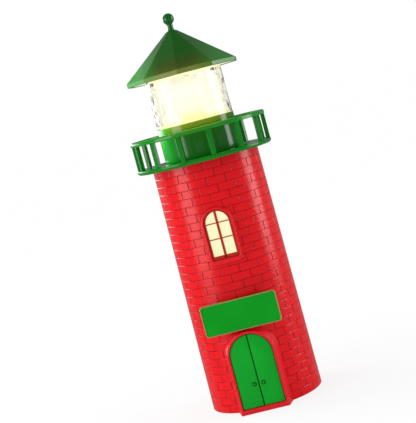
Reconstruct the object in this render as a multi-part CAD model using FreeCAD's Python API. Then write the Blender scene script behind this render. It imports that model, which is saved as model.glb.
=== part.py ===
"""Garden lighthouse ornament: a brick tower with a door, a window, a name plate and a lit lantern.

Millimetres, +Z up. The origin is the centre of the tower's foot, on the ground. The door faces -Y.
A "reach" is a distance from the tower's axis towards the viewer, along -Y.
"""
import FreeCAD, Part
import math
import os

V = FreeCAD.Vector
ORIGIN = V(0, 0, 0)
UP = V(0, 0, 1)
FRONT = V(0, -1, 0)

# ---- driving dimensions ------------------------------------------------------------------------
# tower
TOWER_HEIGHT = 245.0
TOWER_FOOT_R = 55.7
TOWER_TOP_R = 53.1
TOWER_WALL = 2.6
COURSES = 31
GROOVE_WIDTH = 0.7
GROOVE_DEPTH = 0.4
SHELF_THICK = 3.5
SHELF_WIDTH = 13.1

# door portal and door
PORTAL_PROUD = 9.3
PORTAL_HALF = 23.55
PORTAL_FLARE = 3.7
PORTAL_BURY = 2.1
ARCH_SPRING_Z = 55.6
SILL = 5.0
DOOR_HALF = 20.95
DOOR_THICK = 1.8
DOOR_SINK = 0.8
DOOR_GROOVE_WIDTH = 0.9
DOOR_GROOVE_DEPTH = 0.6
KNOB_R = 2.0
KNOB_DEPTH = 1.8
KNOB_ROUND = 0.7
KNOB_X = 4.4
KNOB_Z = 27.6

# name plate
SIGN_WIDTH = 74.3
SIGN_HEIGHT = 30.5
SIGN_LOW_Z = 81.3
SIGN_THICK = 2.8
SIGN_PROUD = 1.0
SIGN_CORNER_R = 3.0
SIGN_LIP = 1.2
SIGN_LIP_DEPTH = 0.7
SIGN_PAD_WIDTH = 28.0
SIGN_PAD_HEIGHT = 20.0
SIGN_PEG_R = 2.0
SIGN_PEG_LENGTH = 5.0
SIGN_PEG_SPACING = 16.0

# window
WINDOW_PROUD = 3.2
WINDOW_SPRING_Z = 185.2
SURROUND_HALF = 15.4
SURROUND_LOW_Z = 145.7
SURROUND_CORNER_R = 3.2
CASEMENT_HALF = 13.2
CASEMENT_LOW_Z = 150.3
CASEMENT_SINK = 1.2
CASEMENT_THICK = 2.2
LIGHT_HALF = 11.2
LIGHT_LOW_Z = 153.8
PANE_THICK = 1.2
MUNTIN_WIDTH = 2.4
BAR_HEIGHT = 1.0
BAR_LEVELS = (170.2, 185.4)
WINDOW_STOP = 1.6
WINDOW_BOARD_WIDTH = 40.0
WINDOW_BOARD_HEIGHT = 26.0
WINDOW_BOARD_SETBACK = 11.3
WINDOW_PEG_R = 2.0

# gallery
GALLERY_R = 68.0
GALLERY_THICK = 4.3
GALLERY_ROUND = 2.6
SPIGOT_WALL = 2.5
SPIGOT_DEPTH = 3.0
POSTS = 14
POST_HEIGHT = 24.2
POST_WIDTH = 4.6
POST_DEPTH = 4.0
POST_SETBACK = 0.5
RAIL_HEIGHT = 4.3
RAIL_WIDTH = 5.0
RAIL_ROUND = 2.0
WIRE_HOLE_R = 6.0

# lantern
DRUM_R = 38.7
DRUM_HEIGHT = 34.1
DRUM_WALL = 2.4
DRUM_FLANGE_THICK = 3.0
DRUM_FLANGE_WIDTH = 7.0
LENS_R = 38.5
LENS_WALL = 2.4
LENS_HEIGHT = 46.9
GASKET_THICK = 0.8
COLLAR_HEIGHT = 1.8
COLLAR_WALL = 2.0
TABS = 3
TAB_WIDTH = 6.0
TAB_DROP = 3.0
TAB_INSET = 0.3

# roof
ROOF_SIDES = 10
ROOF_R = 57.0
FASCIA = 4.2
FASCIA_SINK = 0.8
ROOF_PITCH_HEIGHT = 40.0
ROOF_TOP_R = 5.0
ROOF_WALL = 2.4
ROOF_CROWN = 3.0
SOFFIT_THICK = 2.0
ROOF_BOSS_R = 4.0
ROOF_BOSS_RING_R = 26.0
STEM_R = 3.0
STEM_HEIGHT = 7.5
BALL_R = 5.7
BALL_SEAT_SHARE = 0.72
STUD_R = 2.0
STUD_LENGTH = 8.0
NUT_R = 3.9
NUT_HEIGHT = 2.8

# lamp
HOLDER_R = 15.5
HOLDER_WALL = 2.0
HOLDER_HEIGHT = 31.2
HOLDER_FLANGE_R = 24.0
HOLDER_FLANGE_THICK = 2.5
LAMP_BOARD_R = 14.0
BOARD_THICK = 1.6
DIFFUSER_R = 13.5
DIFFUSER_WALL = 1.2
DIFFUSER_HEIGHT = 41.0
LAMP_CHIPS = 3
LAMP_CHIP_RING_R = 6.5
CHIP_SIZE = 5.0
CHIP_HEIGHT = 1.5
WIRE_R = 0.8
WIRE_SPACING = 4.4
WIRE_BEND_R = 4.5
WIRE_SETBACK = 8.0
WIRE_TURN_RISE = 40.0
WIRE_LANDING_RISE = 14.0

# base
BASE_SINK = 2.0
BASE_THICK = 3.0
BASE_BOSS_R = 4.2
BASE_BOSS_BITE = 0.9
BASE_BOSS_HEIGHT = 14.0
BASE_SCREWS = 4
HATCH_WIDTH = 56.0
HATCH_LENGTH = 46.0
HATCH_THICK = 2.0
HATCH_GAP = 0.4
HATCH_PIN_R = 0.8
HATCH_PIN_LENGTH = 1.4
HATCH_NOTCH_R = 4.0
CELL_R = 7.2
CELL_LENGTH = 49.2
CELL_NUB_R = 2.7
CELL_NUB_LENGTH = 1.0
CELL_PITCH = 15.0
CELLS = 3
CONTACT_DEPTH = 3.0
CONTACT_PLATE = 0.4
CONTACT_SIDE = 10.0
SPRING_FOOT_R = 4.5
SPRING_TIP_R = 2.5
BOX_WALL = 1.8
BOX_HEIGHT = 17.5
STANDOFF_R = 2.4
STANDOFF_HEIGHT = 4.0
CONTROL_WIDTH = 44.0
CONTROL_DEPTH = 30.0
CONTROL_INSET = 4.0
PEG_R = 1.0
PEG_RISE = 1.2
CONTROL_PART_X = 11.0
CONTROL_PART_Y = 5.0
CONTROL_CHIP_WIDTH = 9.0
CONTROL_CHIP_DEPTH = 6.5
CONTROL_CHIP_HEIGHT = 1.8
CAPACITOR_R = 3.2
CAPACITOR_HEIGHT = 8.0
CONNECTOR_WIDTH = 7.0
CONNECTOR_DEPTH = 4.5
CONNECTOR_HEIGHT = 5.5

# power switch
SWITCH_Y = 37.0
SWITCH_TRAVEL = 4.0
SWITCH_KNOB_WIDTH = 3.0
SWITCH_KNOB_ACROSS = 2.6
SWITCH_KNOB_DROP = 1.2
CARRIAGE_LENGTH = 7.0
CARRIAGE_ACROSS = 4.6
CARRIAGE_HEIGHT = 2.6
SWITCH_WALL = 1.6

# screws and clearances
SCREW_R = 1.3
SCREW_LENGTH = 9.0
SCREW_HEAD_R = 2.6
SCREW_HEAD_HEIGHT = 1.4
SLOT_WIDTH = 0.6
SLOT_DEPTH = 0.7
SMALL_SCREW_COUNT = 3
SCREW_COVER = 0.8
SCREW_END_GAP = 0.4
FIT = 0.15
SLIDE_GAP = 0.2
PIN_GAP = 0.06
SCREW_GAP = 0.05
PAST = 1.0
SAME = 0.01


def tower_radius(level):
    return TOWER_FOOT_R + (TOWER_TOP_R - TOWER_FOOT_R) * level / TOWER_HEIGHT


# ---- levels and places that follow ------------------------------------------------------------
COURSE_PITCH = TOWER_HEIGHT / COURSES
SHELF_LOW = TOWER_HEIGHT - SHELF_THICK
SHELF_HOLE_R = TOWER_TOP_R - SHELF_WIDTH
GALLERY_SCREW_RING_R = (SHELF_HOLE_R + TOWER_TOP_R - TOWER_WALL) / 2
PORTAL_REACH = TOWER_FOOT_R + PORTAL_PROUD
PORTAL_ROOT_REACH = math.sqrt(TOWER_FOOT_R ** 2 - (PORTAL_HALF + PORTAL_FLARE) ** 2) - PORTAL_BURY
DOOR_REACH = PORTAL_REACH - DOOR_SINK
DOOR_BACK = DOOR_REACH - DOOR_THICK
POCKET_REACH = DOOR_BACK - TOWER_WALL
WINDOW_REACH = tower_radius(WINDOW_SPRING_Z) + WINDOW_PROUD
CASEMENT_REACH = WINDOW_REACH - CASEMENT_SINK
CASEMENT_BACK = CASEMENT_REACH - CASEMENT_THICK
PANE_BACK = CASEMENT_BACK - PANE_THICK
WINDOW_BOARD_REACH = PANE_BACK - WINDOW_BOARD_SETBACK
WINDOW_BOARD_Z = (CASEMENT_LOW_Z + WINDOW_SPRING_Z) / 2
SIGN_REACH = PORTAL_REACH + SIGN_PROUD
SIGN_BACK = SIGN_REACH - SIGN_THICK
SIGN_MID_Z = SIGN_LOW_Z + SIGN_HEIGHT / 2
FLOOR_Z = TOWER_HEIGHT + GALLERY_THICK
RAIL_Z = FLOOR_Z + POST_HEIGHT
DRUM_TOP = FLOOR_Z + DRUM_HEIGHT
LENS_LOW = DRUM_TOP + GASKET_THICK
LENS_HIGH = LENS_LOW + LENS_HEIGHT
COLLAR_R = LENS_R - LENS_WALL - FIT
EAVE_Z = LENS_HIGH - FASCIA_SINK
FASCIA_TOP = EAVE_Z + FASCIA
ROOF_TOP = FASCIA_TOP + ROOF_PITCH_HEIGHT
BALL_Z = ROOF_TOP + STEM_HEIGHT + BALL_R * BALL_SEAT_SHARE
HOLDER_TOP = FLOOR_Z + HOLDER_HEIGHT
LAMP_BOARD_TOP = HOLDER_TOP + BOARD_THICK
BASE_TOP = BASE_SINK + BASE_THICK
BASE_R = tower_radius(BASE_TOP) - TOWER_WALL - FIT
BASE_BOSS_RING_R = BASE_R - BASE_BOSS_R + BASE_BOSS_BITE
HATCH_LOW = BASE_SINK + (BASE_THICK - HATCH_THICK) / 2
HINGE_Z = HATCH_LOW + HATCH_THICK / 2
HINGE_Y = HATCH_LENGTH / 2 - HATCH_THICK / 2
CELL_Z = HATCH_LOW + HATCH_THICK + SLIDE_GAP + CELL_R
BOX_INNER_X = CELL_LENGTH / 2 + CELL_NUB_LENGTH / 2 + CONTACT_DEPTH + CONTACT_PLATE
BOX_INNER_Y = CELL_PITCH * (CELLS - 1) / 2 + CELL_R + SLIDE_GAP
BOX_TOP = BASE_TOP + BOX_HEIGHT
CONTROL_LOW = BOX_TOP + STANDOFF_HEIGHT
CONTROL_TOP = CONTROL_LOW + BOARD_THICK
SWITCH_X = -SWITCH_TRAVEL / 2


# ---- shape helpers -----------------------------------------------------------------------------
def rod(radius, low, high, x=0.0, y=0.0):
    return Part.makeCylinder(radius, high - low, V(x, y, low))


def ring(outer, inner, low, high, x=0.0, y=0.0):
    return rod(outer, low, high, x, y).cut(rod(inner, low, high, x, y))


def block(width, depth, low, high, x=0.0, y=0.0):
    """A box centred on (x, y), from one level to another."""
    return Part.makeBox(width, depth, high - low, V(x - width / 2, y - depth / 2, low))


def front_rod(radius, reach_out, reach_in, x, z):
    """A round peg that points at the viewer, between two reaches."""
    return Part.makeCylinder(radius, reach_out - reach_in, V(x, -reach_in, z), FRONT)


def front_block(width, height, reach_out, reach_in, x, z):
    return Part.makeBox(width, reach_out - reach_in, height, V(x - width / 2, -reach_out, z - height / 2))


def turned(points):
    """A closed (radius, height) outline turned once round the tower's axis."""
    corners = [V(radius, 0, height) for radius, height in points]
    outline = Part.makePolygon(corners + corners[:1])
    return Part.Face(outline).revolve(ORIGIN, UP, 360)


def rounded_ring(outer, inner, low, high, rounding, round_top):
    """A flat ring with its outer edge rounded at the top or at the bottom."""
    edge, inward = (high, -1) if round_top else (low, 1)
    lean = rounding * (1 - math.cos(math.radians(45)))
    on_side, on_face = V(outer, 0, edge + inward * rounding), V(outer - rounding, 0, edge)
    far_edge = low + high - edge
    stops = [on_face, V(inner, 0, edge), V(inner, 0, far_edge), V(outer, 0, far_edge), on_side]
    edges = [Part.Arc(on_side, V(outer - lean, 0, edge + inward * lean), on_face).toShape()]
    edges += [Part.LineSegment(a, b).toShape() for a, b in zip(stops, stops[1:])]
    return Part.Face(Part.Wire(edges)).revolve(ORIGIN, UP, 360)


def runs_inward(edge):
    return abs(edge.Vertexes[0].Y - edge.Vertexes[-1].Y) > SAME


def arch_wire(half, low, spring, reach):
    """An upright arch outline in the plane at that reach."""
    left, right = V(-half, -reach, spring), V(half, -reach, spring)
    foot_left, foot_right = V(-half, -reach, low), V(half, -reach, low)
    crown = Part.Arc(right, V(0, -reach, spring + half), left).toShape()
    sides = [Part.LineSegment(a, b).toShape()
             for a, b in ((foot_left, foot_right), (foot_right, right), (left, foot_left))]
    return Part.Wire([sides[0], sides[1], crown, sides[2]])


def arch_block(half, low, spring, reach_out, reach_in):
    face = Part.Face(arch_wire(half, low, spring, reach_out))
    return face.extrude(V(0, reach_out - reach_in, 0))


def flared_arch(half_out, half_in, low, spring, reach_out, reach_in):
    wires = [arch_wire(half_out, low, spring, reach_out), arch_wire(half_in, low, spring, reach_in)]
    return Part.makeLoft(wires, True, True)


def rounded_panel(width, height, corner, reach_out, reach_in, z):
    panel = front_block(width, height, reach_out, reach_in, 0, z)
    return panel.makeFillet(corner, [edge for edge in panel.Edges if runs_inward(edge)])


def polygon_wire(radius, level):
    """A regular roof outline, with one corner on the front centre line."""
    corners = []
    for k in range(ROOF_SIDES + 1):
        angle = -math.pi / 2 + 2 * math.pi * k / ROOF_SIDES
        corners.append(V(radius * math.cos(angle), radius * math.sin(angle), level))
    return Part.makePolygon(corners)


def polygon_prism(radius, low, high):
    return Part.Face(polygon_wire(radius, low)).extrude(V(0, 0, high - low))


def polygon_cone(radius_low, low, radius_high, high):
    return Part.makeLoft([polygon_wire(radius_low, low), polygon_wire(radius_high, high)], True, True)


def around(count, radius, first_degrees):
    """Centres of things spaced evenly round the tower's axis."""
    for k in range(count):
        angle = math.radians(first_degrees + 360.0 * k / count)
        yield radius * math.cos(angle), radius * math.sin(angle)


def base_screw_places():
    return list(around(BASE_SCREWS, BASE_BOSS_RING_R, 45))


def gallery_screw_places():
    return list(around(SMALL_SCREW_COUNT, GALLERY_SCREW_RING_R, 30))


def drum_screw_places():
    return list(around(SMALL_SCREW_COUNT, DRUM_R - DRUM_WALL - DRUM_FLANGE_WIDTH / 2, 90))


def holder_screw_places():
    return list(around(SMALL_SCREW_COUNT, (HOLDER_R + HOLDER_FLANGE_R) / 2, 90))


def roof_screw_places():
    return list(around(SMALL_SCREW_COUNT, ROOF_BOSS_RING_R, 90))


def screw(x, y, seat, direction, length=SCREW_LENGTH):
    """A slotted screw: its head's underside lies on the seat, and its shank points along direction."""
    shank = Part.makeCylinder(SCREW_R, length, V(x, y, seat), UP * direction)
    head = Part.makeCylinder(SCREW_HEAD_R, SCREW_HEAD_HEIGHT, V(x, y, seat), UP * -direction)
    crown = seat - direction * SCREW_HEAD_HEIGHT
    slot_low, slot_high = sorted((crown, crown + direction * SLOT_DEPTH))
    return shank.fuse(head).cut(block(SCREW_HEAD_R * 2, SLOT_WIDTH, slot_low, slot_high, x, y))


def screws(places, seat, direction, length=SCREW_LENGTH):
    return [screw(x, y, seat, direction, length) for x, y in places]


def screw_holes(places, low, high):
    return [rod(SCREW_R + SCREW_GAP, low, high, x, y) for x, y in places]


def bent_wire(points):
    """A round wire along straight runs joined by tangent arcs."""
    edges, start = [], points[0]
    for before, corner, after in zip(points, points[1:], points[2:]):
        into, out = (corner - before).normalize(), (after - corner).normalize()
        turn = into.getAngle(out)
        cut = WIRE_BEND_R * math.tan(turn / 2)
        first, last = corner - into * cut, corner + out * cut
        inward = (out - into).normalize()
        middle = corner + inward * WIRE_BEND_R * (1 / math.cos(turn / 2) - 1)
        edges += [Part.LineSegment(start, first).toShape(), Part.Arc(first, middle, last).toShape()]
        start = last
    edges.append(Part.LineSegment(start, points[-1]).toShape())
    heading = (points[1] - points[0]).normalize()
    section = Part.Wire(Part.Circle(points[0], heading, WIRE_R).toShape())
    return Part.Wire(edges).makePipeShell([section], True, False)


def fused(shapes):
    return shapes[0].multiFuse(shapes[1:]).removeSplitter()


def save(name, *solids):
    shape = solids[0] if len(solids) == 1 else Part.makeCompound(list(solids))
    shape.exportStep("parts/%s.step" % name)


# ---- tower -------------------------------------------------------------------------------------
def root_reach(level):
    """A reach just inside the tower's wall, where the things on its face take root."""
    return tower_radius(level) - 2 * TOWER_WALL


def portal_half(reach, inset=0.0):
    share = (PORTAL_REACH - reach) / (PORTAL_REACH - PORTAL_ROOT_REACH)
    return PORTAL_HALF + PORTAL_FLARE * share - inset


def brick_body():
    """The solid tower with a groove along every course line."""
    outline = [(0, 0), (TOWER_FOOT_R, 0)]
    for course in range(1, COURSES):
        level = course * COURSE_PITCH
        for rise, depth in ((-GROOVE_WIDTH / 2, 0), (0, GROOVE_DEPTH), (GROOVE_WIDTH / 2, 0)):
            outline.append((tower_radius(level + rise) - depth, level + rise))
    outline += [(TOWER_TOP_R, TOWER_HEIGHT), (0, TOWER_HEIGHT)]
    return turned(outline)


def tower_shell():
    portal = flared_arch(PORTAL_HALF, portal_half(PORTAL_ROOT_REACH), 0, ARCH_SPRING_Z,
                         PORTAL_REACH, PORTAL_ROOT_REACH)
    window_root = root_reach(WINDOW_SPRING_Z)
    surround = arch_block(SURROUND_HALF, SURROUND_LOW_Z, WINDOW_SPRING_Z, WINDOW_REACH, window_root)
    feet = [edge for edge in surround.Edges if runs_inward(edge) and edge.BoundBox.ZMax < SURROUND_LOW_Z + SAME]
    surround = surround.makeFillet(SURROUND_CORNER_R, feet)
    pad = front_block(SIGN_PAD_WIDTH, SIGN_PAD_HEIGHT, SIGN_BACK, root_reach(SIGN_MID_Z), 0, SIGN_MID_Z)
    body = fused([brick_body(), portal, surround, pad])

    cavity = turned([(0, -PAST), (tower_radius(0) - TOWER_WALL, -PAST), (tower_radius(0) - TOWER_WALL, 0),
                     (tower_radius(SHELF_LOW) - TOWER_WALL, SHELF_LOW), (0, SHELF_LOW)])
    pocket_low = BASE_TOP + TOWER_WALL
    pocket_in = PORTAL_ROOT_REACH - TOWER_WALL
    pocket = flared_arch(portal_half(POCKET_REACH, TOWER_WALL), portal_half(pocket_in, TOWER_WALL),
                         pocket_low, ARCH_SPRING_Z, POCKET_REACH, pocket_in)
    recess = arch_block(DOOR_HALF, SILL, ARCH_SPRING_Z, PORTAL_REACH + PAST, DOOR_BACK)
    window = arch_block(CASEMENT_HALF, CASEMENT_LOW_Z, WINDOW_SPRING_Z, WINDOW_REACH + PAST, PANE_BACK)
    through = arch_block(CASEMENT_HALF - WINDOW_STOP, CASEMENT_LOW_Z + WINDOW_STOP, WINDOW_SPRING_Z,
                         WINDOW_REACH, window_root - TOWER_WALL)
    shelf_hole = rod(SHELF_HOLE_R, SHELF_LOW - PAST, TOWER_HEIGHT + PAST)
    body = body.cut([cavity, pocket, recess, window, through, shelf_hole])

    bosses = [rod(BASE_BOSS_R, BASE_TOP, BASE_TOP + BASE_BOSS_HEIGHT, x, y)
              for x, y in base_screw_places()]
    pegs = [front_rod(WINDOW_PEG_R, tower_radius(WINDOW_SPRING_Z) - TOWER_WALL, WINDOW_BOARD_REACH,
                      side * (WINDOW_BOARD_WIDTH / 2 - WINDOW_PEG_R), WINDOW_BOARD_Z)
            for side in (-1, 1)]
    body = fused([body] + bosses + [peg.common(brick_body()) for peg in pegs])

    holes = screw_holes(base_screw_places(), BASE_TOP - PAST, BASE_TOP + SCREW_LENGTH)
    holes += screw_holes(gallery_screw_places(), SHELF_LOW - PAST, TOWER_HEIGHT + PAST)
    holes += [front_rod(SIGN_PEG_R + FIT, SIGN_BACK + PAST, SIGN_BACK - SIGN_PEG_LENGTH - FIT,
                        side * SIGN_PEG_SPACING / 2, SIGN_MID_Z) for side in (-1, 1)]
    return body.cut(holes)


def door_panel():
    panel = arch_block(DOOR_HALF - FIT, SILL + FIT, ARCH_SPRING_Z, DOOR_REACH, DOOR_BACK)
    tall = 2 * (ARCH_SPRING_Z + DOOR_HALF)
    groove_floor = DOOR_REACH - DOOR_GROOVE_DEPTH
    return panel.cut(front_block(DOOR_GROOVE_WIDTH, tall, DOOR_REACH + PAST, groove_floor, 0, 0))


def door_knob(side):
    base = front_rod(KNOB_R, DOOR_REACH + KNOB_DEPTH, DOOR_REACH, side * KNOB_X, KNOB_Z)
    rim = [edge for edge in base.Edges if edge.BoundBox.YMax < SAME - DOOR_REACH - KNOB_DEPTH]
    return base.makeFillet(KNOB_ROUND, rim)


def sign_plate():
    plate = rounded_panel(SIGN_WIDTH, SIGN_HEIGHT, SIGN_CORNER_R, SIGN_REACH, SIGN_BACK, SIGN_MID_Z)
    face = rounded_panel(SIGN_WIDTH - 2 * SIGN_LIP, SIGN_HEIGHT - 2 * SIGN_LIP, SIGN_CORNER_R - SIGN_LIP / 2,
                         SIGN_REACH + PAST, SIGN_REACH - SIGN_LIP_DEPTH, SIGN_MID_Z)
    peg_end = SIGN_BACK - SIGN_PEG_LENGTH
    pegs = [front_rod(SIGN_PEG_R, SIGN_BACK, peg_end, side * SIGN_PEG_SPACING / 2, SIGN_MID_Z)
            for side in (-1, 1)]
    return fused([plate.cut(face)] + pegs)


# ---- window ------------------------------------------------------------------------------------
def window_casement():
    frame = arch_block(CASEMENT_HALF - FIT, CASEMENT_LOW_Z + FIT, WINDOW_SPRING_Z,
                       CASEMENT_REACH, CASEMENT_BACK)
    light = arch_block(LIGHT_HALF, LIGHT_LOW_Z, WINDOW_SPRING_Z, CASEMENT_REACH + PAST, CASEMENT_BACK - PAST)
    top = WINDOW_SPRING_Z + LIGHT_HALF
    muntin = front_block(MUNTIN_WIDTH, top - LIGHT_LOW_Z + PAST, CASEMENT_REACH, CASEMENT_BACK, 0,
                         (top + LIGHT_LOW_Z) / 2)
    bars = [front_block(2 * LIGHT_HALF + PAST, BAR_HEIGHT, CASEMENT_REACH, CASEMENT_BACK, 0, level)
            for level in BAR_LEVELS]
    return fused([frame.cut(light), muntin] + bars)


def window_pane():
    return arch_block(CASEMENT_HALF - FIT, CASEMENT_LOW_Z + FIT, WINDOW_SPRING_Z, CASEMENT_BACK, PANE_BACK)


def window_board():
    return front_block(WINDOW_BOARD_WIDTH, WINDOW_BOARD_HEIGHT, WINDOW_BOARD_REACH,
                       WINDOW_BOARD_REACH - BOARD_THICK, 0, WINDOW_BOARD_Z)


def window_chips():
    return [front_block(CHIP_SIZE, CHIP_SIZE, WINDOW_BOARD_REACH + CHIP_HEIGHT, WINDOW_BOARD_REACH, 0,
                        WINDOW_BOARD_Z + side * WINDOW_BOARD_HEIGHT / 4) for side in (-1, 1)]


# ---- gallery -----------------------------------------------------------------------------------
def gallery():
    floor = rounded_ring(GALLERY_R, WIRE_HOLE_R, TOWER_HEIGHT, FLOOR_Z, GALLERY_ROUND, False)
    spigot_r = SHELF_HOLE_R - FIT
    spigot = ring(spigot_r, spigot_r - SPIGOT_WALL, TOWER_HEIGHT - SPIGOT_DEPTH, TOWER_HEIGHT)
    post_in = GALLERY_R - POST_SETBACK - POST_DEPTH
    posts = []
    for k in range(POSTS):
        post = Part.makeBox(POST_DEPTH, POST_WIDTH, POST_HEIGHT, V(post_in, -POST_WIDTH / 2, FLOOR_Z))
        post.rotate(ORIGIN, UP, -90 + 360.0 * (k + 0.5) / POSTS)
        posts.append(post)
    holes = screw_holes(gallery_screw_places(), TOWER_HEIGHT - PAST, FLOOR_Z - SCREW_COVER)
    for places in (drum_screw_places(), holder_screw_places()):
        holes += screw_holes(places, TOWER_HEIGHT - PAST, FLOOR_Z + PAST)
    return fused([floor, spigot] + posts).cut(holes)


def gallery_rail():
    return rounded_ring(GALLERY_R, GALLERY_R - RAIL_WIDTH, RAIL_Z, RAIL_Z + RAIL_HEIGHT, RAIL_ROUND, True)


# ---- lantern -----------------------------------------------------------------------------------
def lamp_drum():
    inner, flange_top, collar_top = DRUM_R - DRUM_WALL, FLOOR_Z + DRUM_FLANGE_THICK, DRUM_TOP + COLLAR_HEIGHT
    shape = turned([(inner - DRUM_FLANGE_WIDTH, FLOOR_Z), (DRUM_R, FLOOR_Z), (DRUM_R, DRUM_TOP),
                    (COLLAR_R, DRUM_TOP), (COLLAR_R, collar_top), (COLLAR_R - COLLAR_WALL, collar_top),
                    (COLLAR_R - COLLAR_WALL, DRUM_TOP - DRUM_WALL), (inner, DRUM_TOP - 2 * DRUM_WALL),
                    (inner, flange_top), (inner - DRUM_FLANGE_WIDTH, flange_top)])
    return shape.cut(screw_holes(drum_screw_places(), FLOOR_Z - PAST, flange_top + PAST))


def lens_gasket():
    return ring(LENS_R, COLLAR_R + FIT, DRUM_TOP, LENS_LOW)


def lens_tube():
    return ring(LENS_R, LENS_R - LENS_WALL, LENS_LOW, LENS_HIGH)


def roof_soffit():
    """The ten-sided plate under the roof, with the collar and tabs that hold the lens."""
    soffit_r = ROOF_R - ROOF_WALL - FIT
    plate = polygon_prism(soffit_r, LENS_HIGH, LENS_HIGH + SOFFIT_THICK)
    collar_low = LENS_HIGH - COLLAR_HEIGHT
    collar = ring(COLLAR_R, COLLAR_R - COLLAR_WALL, collar_low, LENS_HIGH)
    tabs = []
    for k in range(TABS):
        tab = block(COLLAR_WALL, TAB_WIDTH, collar_low - TAB_DROP, (collar_low + LENS_HIGH) / 2,
                    COLLAR_R - COLLAR_WALL / 2 - TAB_INSET)
        tab.rotate(ORIGIN, UP, 90 + 360.0 * k / TABS)
        tabs.append(tab)
    holes = screw_holes(roof_screw_places(), LENS_HIGH - PAST, LENS_HIGH + SOFFIT_THICK + PAST)
    return fused([plate, collar] + tabs).cut(holes)


def roof():
    outside = fused([polygon_prism(ROOF_R, EAVE_Z, FASCIA_TOP),
                     polygon_cone(ROOF_R, FASCIA_TOP, ROOF_TOP_R, ROOF_TOP)])
    inner_r, inner_low = ROOF_R - ROOF_WALL, FASCIA_TOP - FASCIA_SINK
    inside = fused([polygon_prism(inner_r, EAVE_Z - PAST, inner_low),
                    polygon_cone(inner_r, inner_low, ROOF_TOP_R, ROOF_TOP - ROOF_CROWN)])
    bosses = [rod(ROOF_BOSS_R, LENS_HIGH + SOFFIT_THICK, ROOF_TOP, x, y).common(outside)
              for x, y in roof_screw_places()]
    holes = screw_holes(roof_screw_places(), LENS_HIGH, LENS_HIGH + SCREW_LENGTH + FIT)
    holes.append(rod(STUD_R + SCREW_GAP, ROOF_TOP - 2 * ROOF_CROWN, ROOF_TOP + PAST))
    return fused([outside.cut(inside)] + bosses).cut(holes)


def finial():
    stud = rod(STUD_R, ROOF_TOP - STUD_LENGTH, ROOF_TOP + PAST)
    stem = rod(STEM_R, ROOF_TOP, BALL_Z)
    return fused([stud, stem, Part.makeSphere(BALL_R, V(0, 0, BALL_Z))])


def finial_nut():
    top = ROOF_TOP - ROOF_CROWN
    corners = [V(x, y, top - NUT_HEIGHT) for x, y in around(6, NUT_R, 0)]
    hexagon = Part.Face(Part.makePolygon(corners + corners[:1])).extrude(V(0, 0, NUT_HEIGHT))
    return hexagon.cut(rod(STUD_R + SCREW_GAP, top - NUT_HEIGHT - PAST, top + PAST))


# ---- lamp --------------------------------------------------------------------------------------
def lamp_holder():
    bore, flange_top, ceiling = HOLDER_R - HOLDER_WALL, FLOOR_Z + HOLDER_FLANGE_THICK, HOLDER_TOP - HOLDER_WALL
    shape = turned([(bore, FLOOR_Z), (HOLDER_FLANGE_R, FLOOR_Z), (HOLDER_FLANGE_R, flange_top),
                    (HOLDER_R, flange_top), (HOLDER_R, HOLDER_TOP), (WIRE_HOLE_R, HOLDER_TOP),
                    (WIRE_HOLE_R, ceiling), (bore, ceiling)])
    return shape.cut(screw_holes(holder_screw_places(), FLOOR_Z - PAST, flange_top + PAST))


def lamp_board():
    return rod(LAMP_BOARD_R, HOLDER_TOP, LAMP_BOARD_TOP)


def lamp_chips():
    return [block(CHIP_SIZE, CHIP_SIZE, LAMP_BOARD_TOP, LAMP_BOARD_TOP + CHIP_HEIGHT, x, y)
            for x, y in around(LAMP_CHIPS, LAMP_CHIP_RING_R, 90)]


def lamp_diffuser():
    top = LAMP_BOARD_TOP + DIFFUSER_HEIGHT
    return rod(DIFFUSER_R, LAMP_BOARD_TOP, top).cut(
        rod(DIFFUSER_R - DIFFUSER_WALL, LAMP_BOARD_TOP, top - DIFFUSER_WALL))


def lamp_wires():
    return [rod(WIRE_R, CONTROL_TOP, HOLDER_TOP, side * WIRE_SPACING / 2, 0) for side in (-1, 1)]


def window_wires():
    back = WINDOW_BOARD_REACH - BOARD_THICK
    landing = CONTROL_DEPTH / 2 - CONTROL_INSET
    run_y = WIRE_SETBACK - back
    wires = []
    for side in (-1, 1):
        x = side * WIRE_SPACING / 2
        stops = [(-back, WINDOW_BOARD_Z), (run_y, WINDOW_BOARD_Z), (run_y, CONTROL_TOP + WIRE_TURN_RISE),
                 (-landing, CONTROL_TOP + WIRE_LANDING_RISE), (-landing, CONTROL_TOP)]
        wires.append(bent_wire([V(x, y, z) for y, z in stops]))
    return wires


# ---- base, batteries and switch ----------------------------------------------------------------
def base_plate():
    plate = rod(BASE_R, BASE_SINK, BASE_TOP)
    under, above = BASE_SINK - PAST, BASE_TOP + PAST
    opening = block(HATCH_WIDTH + 2 * HATCH_GAP, HATCH_LENGTH + 2 * HATCH_GAP, under, above)
    pin_hole = hinge_rod(HATCH_PIN_R + PIN_GAP, HATCH_WIDTH / 2 + HATCH_PIN_LENGTH + HATCH_GAP)
    slot = block(SWITCH_KNOB_WIDTH + SWITCH_TRAVEL + 2 * SLIDE_GAP, SWITCH_KNOB_ACROSS + 2 * SLIDE_GAP,
                 under, above, 0, SWITCH_Y)
    sinks = [rod(SCREW_HEAD_R + FIT, under, BASE_SINK + SCREW_HEAD_HEIGHT, x, y)
             for x, y in base_screw_places()]
    return plate.cut([opening, pin_hole, slot] + sinks + screw_holes(base_screw_places(), under, above))


def hinge_rod(radius, half_length):
    return Part.makeCylinder(radius, 2 * half_length, V(-half_length, HINGE_Y, HINGE_Z), V(1, 0, 0))


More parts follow.
